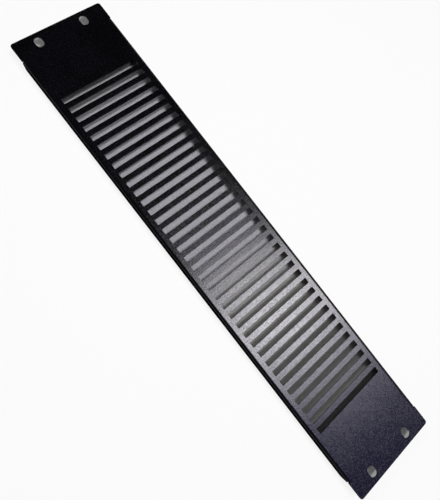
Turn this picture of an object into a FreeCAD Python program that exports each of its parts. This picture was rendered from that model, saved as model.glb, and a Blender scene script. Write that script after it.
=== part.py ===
# Vented blanking panel for a 19-inch rack: one sheet of steel, punched and folded.
#
# Frame: X runs along the panel, Y across it and Z out of its front face. The origin lies under
# the panel's centre, level with the free edges of its two flanges. Sizes are in millimetres.

import FreeCAD, Part
import math
import os

import Sketcher
from FreeCAD import Placement, Rotation, Vector

# Driving dimensions: they go into the spreadsheet, and every sketch and feature is bound to it.
SIZES = {
    # Outline, after the rack standard
    "panel_length": 482.6,  # over both flat ends
    "rack_space_height": 44.45,
    "space_count": 2,  # rack spaces that the panel closes
    "rack_gap": 0.8,  # what the flat ends leave free of the spaces' height
    # Sheet and folds
    "sheet_thickness": 1.5,
    "bend_radius": 1.5,  # inside of a fold
    "flange_depth": 12.7,  # front face to the free edge of a flange
    "ear_length": 18.2,  # flat end beyond the flanges, which lies on the rack's rail
    "fold_overhang": 0.35,  # how far each fold stands out past the flat ends' long edges
    "ear_corner_radius": 2.5,
    "relief_width": 0.7,  # notch that parts each fold from the flat end
    # Mounting slots, which run along the panel
    "mount_end_distance": 8.75,  # end of the panel to a slot's centre
    "mount_slot_length": 10.2,
    "mount_slot_width": 7.0,
    # Vent slots, which run across the panel
    "vent_pitch": 10.05,
    "vent_width": 5.4,
    "vent_length": 75.0,
    "vent_corner_radius": 0.4,
    "vent_end_margin": 43.0,  # least plain stretch between a fold's end and the first vent slot
}

# What follows from the driving dimensions, as expressions on the spreadsheet
EAR_HEIGHT = "(sizes.space_count * sizes.rack_space_height - sizes.rack_gap)"
FOLDED_HEIGHT = f"({EAR_HEIGHT} + 2 * sizes.fold_overhang)"
FLANGE_LENGTH = "(sizes.panel_length - 2 * sizes.ear_length)"
OUTER_BEND_RADIUS = "(sizes.bend_radius + sizes.sheet_thickness)"
BEND_LINE = f"({FOLDED_HEIGHT} / 2 - {OUTER_BEND_RADIUS})"
REAR_LEVEL = "sizes.flange_depth - sizes.sheet_thickness"
MOUNT_SPACING_X = "(sizes.panel_length - 2 * sizes.mount_end_distance)"
MOUNT_SPACING_Y = "((sizes.space_count - 1) * sizes.rack_space_height)"
VENT_FIELD = f"({FLANGE_LENGTH} - 2 * sizes.vent_end_margin - sizes.vent_width)"
VENT_GAPS = f"floor({VENT_FIELD} / sizes.vent_pitch)"
VENT_SPAN = f"({VENT_GAPS} * sizes.vent_pitch)"

# Names for the points of a sketch's elements, and for its origin and its horizontal axis
START, END, CENTRE = 1, 2, 3
ORIGIN = (-1, START)
LEVEL_AXIS = -1


def make_sheet(doc):
    """The spreadsheet with the driving dimensions."""
    sheet = doc.addObject("Spreadsheet::Sheet", "sizes")
    for row, (name, size) in enumerate(SIZES.items(), start=1):
        sheet.set(f"A{row}", name)
        sheet.set(f"B{row}", str(size))
        sheet.setAlias(f"B{row}", name)
    doc.recompute()


def number(item, size):
    """What an expression comes to."""
    return float(item.evalExpression(size))


def origin_feature(body, role):
    """One of the body's own planes."""
    return next(feature for feature in body.Origin.OriginFeatures if feature.Role == role)


def make_sketch(body, name, role, level=None):
    """An empty sketch on one of the body's planes, raised to a level where one is given."""
    sketch = body.newObject("Sketcher::SketchObject", name)
    sketch.AttachmentSupport = (origin_feature(body, role), [""])
    sketch.MapMode = "FlatFace"
    if level:
        sketch.setExpression("AttachmentOffset.Base.z", level)
    return sketch


def constrain(sketch, kind, *elements):
    """A geometric constraint."""
    sketch.addConstraint(Sketcher.Constraint(kind, *elements))


def dimension(sketch, size, kind, *elements):
    """A dimension that follows an expression."""
    index = sketch.addConstraint(Sketcher.Constraint(kind, *elements, number(sketch, size)))
    sketch.setExpression(f"Constraints[{index}]", size)


def place(sketch, corner, *point):
    """Dimensions that hold a point at the two expressions of a corner."""
    for kind, size in zip(("DistanceX", "DistanceY"), corner):
        dimension(sketch, size, kind, *ORIGIN, *point)


def draw_polygon(sketch, corners):
    """A closed outline with straight sides."""
    points = [Vector(number(sketch, x), number(sketch, y), 0) for x, y in corners]
    following_points = points[1:] + points[:1]
    sides = [
        sketch.addGeometry(Part.LineSegment(here, after)) for here, after in zip(points, following_points)
    ]
    for side, following, corner in zip(sides, sides[1:] + sides[:1], corners):
        constrain(sketch, "Coincident", side, END, following, START)
        place(sketch, corner, side, START)


def draw_rounded_outline(sketch, centres, radius):
    """A closed outline of equal arcs and the straight sides between them, anticlockwise."""
    points = [Vector(number(sketch, x), number(sketch, y), 0) for x, y in centres]
    arcs = []
    for before, here, after in zip(points[-1:] + points[:-1], points, points[1:] + points[:1]):
        # The outline's outer side lies a quarter turn clockwise from the way it runs
        first, last = (math.atan2(way.y, way.x) - math.pi / 2 for way in (here - before, after - here))
        circle = Part.Circle(here, Vector(0, 0, 1), number(sketch, radius))
        arcs.append(sketch.addGeometry(Part.ArcOfCircle(circle, first, last)))
    for arc, following in zip(arcs, arcs[1:] + arcs[:1]):
        ends = sketch.getPoint(arc, END), sketch.getPoint(following, START)
        side = sketch.addGeometry(Part.LineSegment(*ends))
        constrain(sketch, "Tangent", arc, END, side, START)
        constrain(sketch, "Tangent", side, END, following, START)
    for arc, centre in zip(arcs, centres):
        place(sketch, centre, arc, CENTRE)
    for arc in arcs[1:]:
        constrain(sketch, "Equal", arcs[0], arc)
    dimension(sketch, radius, "Radius", arcs[0])


def rounded_box_centres(length, width, radius, middle="0"):
    """The corner arcs' centres of a box that lies across the panel's long axis."""
    reach_x, reach_y = (f"({size} / 2 - {radius})" for size in (length, width))
    sides = ((1, 1), (-1, 1), (-1, -1), (1, -1))
    return [(f"{middle} + {side_x} * {reach_x}", f"{side_y} * {reach_y}") for side_x, side_y in sides]


def draw_fold_section(sketch):
    """A fold in section: concentric arcs, then the flange down to its free edge."""
    inner = number(sketch, "sizes.bend_radius")
    outer = number(sketch, OUTER_BEND_RADIUS)
    bend_line = number(sketch, BEND_LINE)
    centre = Vector(bend_line, number(sketch, f"sizes.flange_depth - {OUTER_BEND_RADIUS}"), 0)
    outer_arc, inner_arc = (
        sketch.addGeometry(Part.ArcOfCircle(Part.Circle(centre, Vector(0, 0, 1), radius), 0, math.pi / 2))
        for radius in (outer, inner)
    )
    outer_foot = Vector(bend_line + outer, 0, 0)
    inner_foot = Vector(bend_line + inner, 0, 0)
    outer_face = sketch.addGeometry(Part.LineSegment(sketch.getPoint(outer_arc, START), outer_foot))
    free_edge = sketch.addGeometry(Part.LineSegment(outer_foot, inner_foot))
    inner_face = sketch.addGeometry(Part.LineSegment(inner_foot, sketch.getPoint(inner_arc, START)))
    seam = sketch.addGeometry(
        Part.LineSegment(sketch.getPoint(inner_arc, END), sketch.getPoint(outer_arc, END))
    )
    constrain(sketch, "Coincident", outer_arc, CENTRE, inner_arc, CENTRE)
    constrain(sketch, "Tangent", outer_arc, START, outer_face, START)
    constrain(sketch, "Tangent", inner_face, END, inner_arc, START)
    constrain(sketch, "Coincident", outer_face, END, free_edge, START)
    constrain(sketch, "Coincident", free_edge, END, inner_face, START)
    constrain(sketch, "Coincident", inner_arc, END, seam, START)
    constrain(sketch, "Coincident", outer_arc, END, seam, END)
    constrain(sketch, "Vertical", outer_face)
    constrain(sketch, "Vertical", inner_face)
    constrain(sketch, "Vertical", seam)
    constrain(sketch, "Vertical", outer_arc, CENTRE, outer_arc, END)
    constrain(sketch, "Horizontal", free_edge)
    constrain(sketch, "PointOnObject", free_edge, START, LEVEL_AXIS)
    dimension(sketch, "sizes.bend_radius", "Radius", inner_arc)
    dimension(sketch, OUTER_BEND_RADIUS, "Radius", outer_arc)
    place(sketch, (BEND_LINE, "sizes.flange_depth"), outer_arc, END)


def add_pad(body, name, sketch, length, side="One side"):
    """Sheet added along a sketch's normal, or to both sides of it."""
    pad = body.newObject("PartDesign::Pad", name)
    pad.Profile = sketch
    pad.SideType = side
    pad.setExpression("Length", length)
    return pad


def add_cut(body, name, sketch):
    """A punched hole, from the front face down through the sheet."""
    pocket = body.newObject("PartDesign::Pocket", name)
    pocket.Profile = sketch
    pocket.setExpression("Length", "sizes.sheet_thickness")
    return pocket


def add_row(body, name, original, sketch, span, gaps):
    """Equal copies of a cut in a row along the panel; span reaches from first to last."""
    row = body.newObject("PartDesign::LinearPattern", name)
    row.Originals = [original]
    row.Direction = (sketch, ["H_Axis"])
    row.setExpression("Length", span)
    row.setExpression("Occurrences", f"{gaps} + 1")
    body.Tip = row
    return row


def make_panel(doc):
    """The panel: a flat blank with its ends, two folds, the mounting slots and the vents."""
    body = doc.addObject("PartDesign::Body", "panel")
    body.Label = "panel"
    body.Placement = Placement(Vector(0, 0, 0), Rotation())

    corner = "sizes.ear_corner_radius"
    outline = make_sketch(body, "face_outline", "XY_Plane", REAR_LEVEL)
    draw_rounded_outline(outline, rounded_box_centres("sizes.panel_length", EAR_HEIGHT, corner), corner)
    add_pad(body, "face", outline, "sizes.sheet_thickness")

    # The blank is cut back to the bend line between the flat ends, with a relief notch at each end
    strip_reach = f"({FLANGE_LENGTH} / 2 + sizes.relief_width)"
    strip_outline = make_sketch(body, "fold_strip_outline", "XY_Plane", "sizes.flange_depth")
    strip_corners = [
        (f"-{strip_reach}", BEND_LINE),
        (strip_reach, BEND_LINE),
        (strip_reach, f"{FOLDED_HEIGHT} / 2"),
        (f"-{strip_reach}", f"{FOLDED_HEIGHT} / 2"),
    ]
    draw_polygon(strip_outline, strip_corners)
    strip = add_cut(body, "fold_strip", strip_outline)
    section = make_sketch(body, "fold_section", "YZ_Plane")
    draw_fold_section(section)
    fold = add_pad(body, "fold", section, FLANGE_LENGTH, side="Symmetric")
    opposite = body.newObject("PartDesign::Mirrored", "opposite_fold")
    opposite.Originals = [strip, fold]
    opposite.MirrorPlane = (origin_feature(body, "XZ_Plane"), [""])
    body.Tip = opposite

    round_end = "sizes.mount_slot_width / 2"
    slot_half = "(sizes.mount_slot_length - sizes.mount_slot_width) / 2"
    mount_outline = make_sketch(body, "mount_slot_outline", "XY_Plane", "sizes.flange_depth")
    mount_centres = [
        (f"-{MOUNT_SPACING_X} / 2 + {side} * {slot_half}", f"-{MOUNT_SPACING_Y} / 2") for side in (-1, 1)
    ]
    draw_rounded_outline(mount_outline, mount_centres, round_end)
    mount_slot = add_cut(body, "mount_slot", mount_outline)
    mounts = add_row(body, "mount_slots", mount_slot, mount_outline, MOUNT_SPACING_X, "1")
    mounts.Direction2 = (mount_outline, ["V_Axis"])
    mounts.setExpression("Length2", MOUNT_SPACING_Y)
    mounts.Occurrences2 = 2

    corner = "sizes.vent_corner_radius"
    vent_outline = make_sketch(body, "vent_slot_outline", "XY_Plane", "sizes.flange_depth")
    vent_centres = rounded_box_centres("sizes.vent_width", "sizes.vent_length", corner, f"-{VENT_SPAN} / 2")
    draw_rounded_outline(vent_outline, vent_centres, corner)
    vent_slot = add_cut(body, "vent_slot", vent_outline)
    vents = add_row(body, "vent_slots", vent_slot, vent_outline, VENT_SPAN, VENT_GAPS)

    doc.recompute()
    check_cuts([strip, mount_slot, mounts, vent_slot, vents])
    return body


def check_cuts(cuts):
    """Each cut has to take sheet away from what it starts from."""
    for cut in cuts:
        if not cut.Shape.Volume < cut.BaseFeature.Shape.Volume:
            raise RuntimeError(f"{cut.Name} cuts nothing")


def export(doc, bodies):
    """Checks the document and writes each sub-part's solid."""
    for item in doc.Objects:
        if "Invalid" in item.State or "Error" in item.State:
            raise RuntimeError(f"{item.Name} has failed")
    os.makedirs("parts", exist_ok=True)
    for body in bodies:
        if body.Shape.isNull() or not body.Shape.isValid():
            raise RuntimeError(f"{body.Label} has no valid shape")
        body.Shape.exportStep(f"parts/{body.Label}.step")


doc = FreeCAD.newDocument("rack_blanking_panel")
make_sheet(doc)
export(doc, [make_panel(doc)])
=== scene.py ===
"""Looks of a vented blanking panel for a 19-inch rack: one folded sheet of steel in black powder coat."""

import math

import bpy
from mathutils import Matrix, Vector


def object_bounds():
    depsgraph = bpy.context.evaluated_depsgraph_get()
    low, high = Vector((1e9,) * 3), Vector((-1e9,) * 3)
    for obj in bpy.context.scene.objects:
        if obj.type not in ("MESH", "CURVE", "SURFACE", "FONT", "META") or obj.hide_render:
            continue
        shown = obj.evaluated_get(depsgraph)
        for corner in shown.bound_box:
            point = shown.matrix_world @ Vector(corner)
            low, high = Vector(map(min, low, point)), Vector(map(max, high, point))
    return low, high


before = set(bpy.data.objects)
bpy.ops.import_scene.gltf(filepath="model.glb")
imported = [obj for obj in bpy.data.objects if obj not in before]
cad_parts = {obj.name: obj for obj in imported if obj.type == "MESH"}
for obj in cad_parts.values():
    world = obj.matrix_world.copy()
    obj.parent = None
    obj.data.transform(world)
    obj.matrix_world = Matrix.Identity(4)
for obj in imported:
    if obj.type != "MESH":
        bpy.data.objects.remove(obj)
cad_low, cad_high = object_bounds()
scene = bpy.context.scene
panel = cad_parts["panel"]

MM = 0.001
WHITE = (1, 1, 1, 1)
FACE = Vector((0, 0, cad_high.z))  # middle of the front face

# The camera, fitted to the photograph
LENS = 26.62
SENSOR = 36
SHIFT = (-0.0280, -0.0500)
CAMERA_PLACE = FACE + Vector((2.43, -78.49, 312.99)) * MM
CAMERA_AIM = FACE + Vector((-3.61, 15.13, 0)) * MM
CAMERA_ROLL = math.radians(-48.53)

# Parts of a noise's range over which it counts
SHARP = (0.35, 0.65)
SOFT = (0.3, 0.7)

# Powder coat. Scales are in features per metre
TINTS = ((0.0006, 0.0004, 0.0012, 1), (0.0014, 0.0012, 0.0026, 1))
TINT_SCALE = 45
COAT_IOR = 1.5
ROUGHNESS = (0.15, 0.30)
ROUGHNESS_DRIFT = 0.01
GRAIN_SCALE = 1300
RELIEF_SCALE = 1000
RELIEF_STRENGTH = 0.7
RELIEF_DEPTH = 0.07 * MM

# Floor. Past means outside the panel's box, so less than 0 is under it. The ears are the flat ends
FLOOR_SIZE = 8
FLOOR_GAP = 0.05 * MM  # between the flanges' edges and the floor
FLOOR_ROUGHNESS = 0.9
BARE_PAST_END = (3.6 * MM, 9.0 * MM)
BARE_PAST_FOLD = (-1.2 * MM, -0.2 * MM)
BARE_BESIDE_EAR = (-3.0 * MM, -2.1 * MM)
EAR_START = (-18.5 * MM, -17.5 * MM)
# painted shadow: nearer the panel than this, the floor shows dark in the coat
MIRRORED_PAST = (30 * MM, 120 * MM)  # nearer than this the floor stays dark in the coat
FLOOR_PLAIN = 0.85  # its colour to the light that it throws back
FLOOR_FAINT = 0.12  # its colour where it shows as background
FLOOR_GLOW = 0.86  # how much it glows there

# Painted shade: a grey card under the panel in place of the floor in its shade. Spans are along the panel
# from its middle, except the one past its end
PAINTED_SHADE_TONES = ((0.455, 0.45, 0.49, 1), (0.285, 0.29, 0.28, 1))
PAINTED_SHADE_TURN = (0, 80 * MM)
LAST_SLOT = (173 * MM, 181 * MM)
LAST_SLOT_SHADE = 0.5
# painted light under the ears, seen through the mounting slots, paler at +X, and painted shade fading it
# near the +X end
EAR_PAINTED_LIGHT_TONES = (0.56, 0.82)  # at -X and at +X
EAR_TURN = (-200 * MM, 200 * MM)
EAR_PAINTED_SHADE_FADE = (236.5 * MM, 244.5 * MM)
EAR_PAINTED_SHADE_DEPTH = 0.40
EAR_TONE_PAST_END = (-18.5 * MM, -16.5 * MM)
FLECK_SCALE = 700
FLECK_DETAIL = 3
FLECK_DEPTH = 0.15

# Sky
SKY_SEEN = 0.93
SKY_LEAST = 0.02
HORIZON_GLOW = 0.3
HORIZON_FADE = (0.1, 0.5)  # heights between which the glow fades, where straight up is 1

# A soft lamp is three lamps: half size of each in widths of the fade, and its share of the peak
FADE_STEPS = ((0.8, 0.377), (1.4, 0.33), (2.1, 0.216))
STEP_GAP = 10 * MM


def set_down(obj, place, side, ahead):
    """Put a camera or lamp in the scene, with its X axis along side, looking ahead."""
    scene.collection.objects.link(obj)
    turn = Matrix((side, side.cross(ahead), -ahead)).transposed().to_4x4()
    obj.matrix_world = Matrix.Translation(place) @ turn


def camera():
    data = bpy.data.cameras.new("camera")
    data.lens = LENS
    data.sensor_width = SENSOR
    data.shift_x, data.shift_y = SHIFT
    data.clip_start = 0.01
    data.clip_end = 20
    ahead = (CAMERA_AIM - CAMERA_PLACE).normalized()
    level_up = (Vector((0, 0, 1)) - ahead * ahead.z).normalized()
    up = level_up * math.cos(CAMERA_ROLL) + ahead.cross(level_up) * math.sin(CAMERA_ROLL)
    obj = bpy.data.objects.new("camera", data)
    set_down(obj, CAMERA_PLACE, ahead.cross(up), ahead)
    scene.camera = obj


def put(tree, value, socket):
    """Feed a socket from another node's output, or set it to a constant."""
    if isinstance(value, bpy.types.NodeSocket):
        tree.links.new(value, socket)
    else:
        socket.default_value = value


def material(name):
    made = bpy.data.materials.new(name)
    made.use_nodes = True
    return made, made.node_tree, made.node_tree.nodes["Principled BSDF"]


def math_node(tree, operation, *values):
    node = tree.nodes.new("ShaderNodeMath")
    node.operation = operation
    for value, socket in zip(values, node.inputs):
        put(tree, value, socket)
    return node.outputs[0]


def ramp(tree, value, span, low=0.0, high=1.0):
    """A smooth step over span, from low before it to high after it."""
    node = tree.nodes.new("ShaderNodeMapRange")
    node.interpolation_type = "SMOOTHSTEP"
    given = {"Value": value, "From Min": span[0], "From Max": span[1], "To Min": low, "To Max": high}
    for name, entry in given.items():
        put(tree, entry, node.inputs[name])
    return node.outputs["Result"]


def noise(tree, place, scale, detail=2.0):
    node = tree.nodes.new("ShaderNodeTexNoise")
    for name, entry in {"Vector": place, "Scale": scale, "Detail": detail}.items():
        put(tree, entry, node.inputs[name])
    return node.outputs["Fac"]


def mix(tree, factor, first, second):
    """A colour from first at factor 0 to second at factor 1."""
    node = tree.nodes.new("ShaderNodeMix")
    node.data_type = "RGBA"
    for name, entry in {"Factor": factor, "A": first, "B": second}.items():
        put(tree, entry, node.inputs[name])
    return node.outputs["Result"]


def scaled(tree, colour, factor):
    node = tree.nodes.new("ShaderNodeVectorMath")
    node.operation = "SCALE"
    put(tree, colour, node.inputs[0])
    put(tree, factor, node.inputs["Scale"])
    return node.outputs[0]


def split(tree, vector):
    node = tree.nodes.new("ShaderNodeSeparateXYZ")
    put(tree, vector, node.inputs[0])
    return node.outputs


def rays(tree):
    """1 for what the camera sees directly, and 1 for what shows in or through another surface."""
    path = tree.nodes.new("ShaderNodeLightPath").outputs
    mirrored = math_node(tree, "MAXIMUM", path["Is Glossy Ray"], path["Is Transmission Ray"])
    return path["Is Camera Ray"], mirrored


def coat():
    """Near-black, a little uneven in tint, with a fine grain in its gloss and relief."""
    made, tree, shader = material("powder_coat")
    place = tree.nodes.new("ShaderNodeTexCoord").outputs["Object"]
    grain = noise(tree, place, GRAIN_SCALE)
    cloud = noise(tree, place, TINT_SCALE)
    put(tree, mix(tree, ramp(tree, cloud, SHARP), *TINTS), shader.inputs["Base Color"])
    put(tree, COAT_IOR, shader.inputs["IOR"])
    fine = ramp(tree, grain, SHARP, *ROUGHNESS)
    drift = ramp(tree, cloud, SOFT, -ROUGHNESS_DRIFT, ROUGHNESS_DRIFT)
    put(tree, math_node(tree, "ADD", fine, drift), shader.inputs["Roughness"])
    bump = tree.nodes.new("ShaderNodeBump")
    put(tree, RELIEF_STRENGTH, bump.inputs["Strength"])
    put(tree, RELIEF_DEPTH, bump.inputs["Distance"])
    put(tree, noise(tree, place, RELIEF_SCALE), bump.inputs["Height"])
    put(tree, bump.outputs["Normal"], shader.inputs["Normal"])
    return made


def bare_floor(tree, past_x, past_y):
    """1 where the floor is bare, 0 on the painted shade under the panel."""
    beside_ear = math_node(
        tree, "MULTIPLY", ramp(tree, past_x, EAR_START), ramp(tree, past_y, BARE_BESIDE_EAR)
    )
    past_fold = ramp(tree, past_y, BARE_PAST_FOLD)
    past_end = ramp(tree, past_x, BARE_PAST_END)
    return math_node(tree, "MAXIMUM", math_node(tree, "MAXIMUM", beside_ear, past_fold), past_end)


def painted_shade_card(tree, place, x, past_x):
    """Painted shade: grey that darkens towards +X and under the last slot, where the floor lies in the
    panel's shade; paler under the ears as painted light from past the ends; with a fine fleck.
    """
    tone = mix(tree, ramp(tree, x, PAINTED_SHADE_TURN), *PAINTED_SHADE_TONES)
    slots = scaled(tree, tone, ramp(tree, x, LAST_SLOT, 1, LAST_SLOT_SHADE))
    # painted shade: the +X ear's tone falls again towards its end
    ears = math_node(
        tree, "ADD", ramp(tree, x, EAR_TURN, *EAR_PAINTED_LIGHT_TONES), ramp(tree, x, EAR_PAINTED_SHADE_FADE, 0, -EAR_PAINTED_SHADE_DEPTH)
    )
    both = mix(tree, ramp(tree, past_x, EAR_TONE_PAST_END), slots, ears)
    fleck = noise(tree, place, FLECK_SCALE, FLECK_DETAIL)
    return scaled(tree, both, ramp(tree, fleck, SOFT, 1 - FLECK_DEPTH, 1 + FLECK_DEPTH))


def floor():
    """A pale floor. Card under the panel stands in for the floor in the panel's shade."""
    bpy.ops.mesh.primitive_plane_add(size=FLOOR_SIZE, location=(0, 0, cad_low.z - FLOOR_GAP))
    obj = bpy.context.object
    obj.name = "floor"
    made, tree, shader = material("floor")
    put(tree, FLOOR_ROUGHNESS, shader.inputs["Roughness"])
    put(tree, 0, shader.inputs["Specular IOR Level"])
    put(tree, WHITE, shader.inputs["Emission Color"])
    place = tree.nodes.new("ShaderNodeTexCoord").outputs["Object"]
    x, y, _ = split(tree, place)
    past_x = math_node(tree, "SUBTRACT", math_node(tree, "ABSOLUTE", x), cad_high.x)
    past_y = math_node(tree, "SUBTRACT", math_node(tree, "ABSOLUTE", y), cad_high.y)
    bare = bare_floor(tree, past_x, past_y)
    # the coat mirrors the floor's glow only a little way off; nearer, the floor shows dark in it as a
    # painted shadow round the panel
    seen, mirrored = rays(tree)
    clear = ramp(tree, math_node(tree, "MAXIMUM", past_x, past_y), MIRRORED_PAST)
    afar = math_node(tree, "MULTIPLY", mirrored, clear)
    # as background it glows and takes little of the light, and otherwise it is plain
    unseen = math_node(tree, "SUBTRACT", 1, math_node(tree, "MAXIMUM", seen, mirrored))
    plain = math_node(tree, "MULTIPLY", unseen, FLOOR_PLAIN)
    faint = math_node(tree, "MULTIPLY", math_node(tree, "MAXIMUM", seen, afar), FLOOR_FAINT)
    grey = math_node(tree, "ADD", plain, faint)
    # under the panel the floor's colour is painted shade, from the card
    put(tree, mix(tree, bare, painted_shade_card(tree, place, x, past_x), grey), shader.inputs["Base Color"])
    lit = math_node(tree, "MAXIMUM", math_node(tree, "MULTIPLY", seen, bare), afar)
    put(tree, math_node(tree, "MULTIPLY", lit, FLOOR_GLOW), shader.inputs["Emission Strength"])
    obj.data.materials.append(made)


def sky():
    """Pale behind the floor. What the coat mirrors of it is pale near the horizon and dark overhead."""
    world = bpy.data.worlds.new("world")
    world.use_nodes = True
    scene.world = world
    tree = world.node_tree
    height = split(tree, tree.nodes.new("ShaderNodeTexCoord").outputs["Generated"])["Z"]
    seen, mirrored = rays(tree)
    glow = math_node(tree, "MULTIPLY", mirrored, ramp(tree, height, HORIZON_FADE, HORIZON_GLOW, 0))
    behind = math_node(tree, "MULTIPLY", seen, SKY_SEEN)
    strength = math_node(tree, "MAXIMUM", math_node(tree, "MAXIMUM", glow, behind), SKY_LEAST)
    background = tree.nodes["Background"]
    put(tree, WHITE, background.inputs["Color"])
    put(tree, strength, background.inputs["Strength"])


def lamp(name, place, size, radiance, colour=(1, 1, 1), lean=0, glossy=True, diffuse=True):
    """An elliptical softbox that faces the panel, leaning from +Y towards +X by lean degrees.

    A radiance of 1 is a surface that shows white.
    """
    data = bpy.data.lights.new(name, "AREA")
    data.shape = "ELLIPSE"
    data.size, data.size_y = size
    data.color = colour
    area = math.pi * size[0] * size[1] / 4
    data.energy = radiance * math.pi * area
    ahead = (FACE - place).normalized()
    side = Vector((math.cos(math.radians(lean)), -math.sin(math.radians(lean)), 0))
    obj = bpy.data.objects.new(name, data)
    set_down(obj, place, (side - ahead * side.dot(ahead)).normalized(), ahead)
    obj.visible_glossy = glossy
    obj.visible_diffuse = diffuse


def soft_lamp(name, place, spread, level, **look):
    """A lamp that fades from its middle out.

    spread is the width of the fade in X and in Y, as a share of the lamp's height. At a level of 1
    the lamp, straight overhead, would light a white floor to about white.
    """
    height = place[2]
    peak = level / (2 * spread[0] * spread[1])
    for k, (reach, share) in enumerate(FADE_STEPS):
        size = [2 * reach * slope * height for slope in spread]
        lamp(f"{name}_{k}", Vector(place) + Vector((0, 0, STEP_GAP * k)), size, peak * share, **look)


camera()
panel.data.materials.clear()
panel.data.materials.append(coat())
floor()
# mirrored in the coat: the sheen on the +X half, its far side and its cool rim
soft_lamp("sheen", (2.04, 1.93, 8.0), (0.119, 0.162), 0.825, colour=(1, 0.98, 1), lean=10, diffuse=False)
soft_lamp("side", (3.51, 2.01, 8.0), (0.078, 0.078), 0.015, diffuse=False)
soft_lamp("cool", (3.21, 1.77, 8.0), (0.227, 0.248), 0.117, colour=(0.2, 0.15, 1), diffuse=False)
# on the floor, through the slots and past the edges
soft_lamp("far", (0.116, 0.222, 1.055), (0.05, 0.09), 0.681, glossy=False)
soft_lamp("near", (-0.038, 0.111, 0.390), (0.05, 0.09), 0.081, glossy=False)
soft_lamp("fill", (-0.178, 0.026, 0.270), (0.10, 0.15), 0.080, glossy=False)
soft_lamp("front", (-0.168, -0.267, 0.386), (0.35, 0.25), 0.164, glossy=False)
soft_lamp("high", (0.590, 0.219, 1.061), (0.17, 0.09), 0.205, glossy=False)
soft_lamp("low", (-1.304, 0.038, 1.061), (0.128, 0.25), 0.611, glossy=False)
sky()
scene.view_settings.view_transform = "Standard"
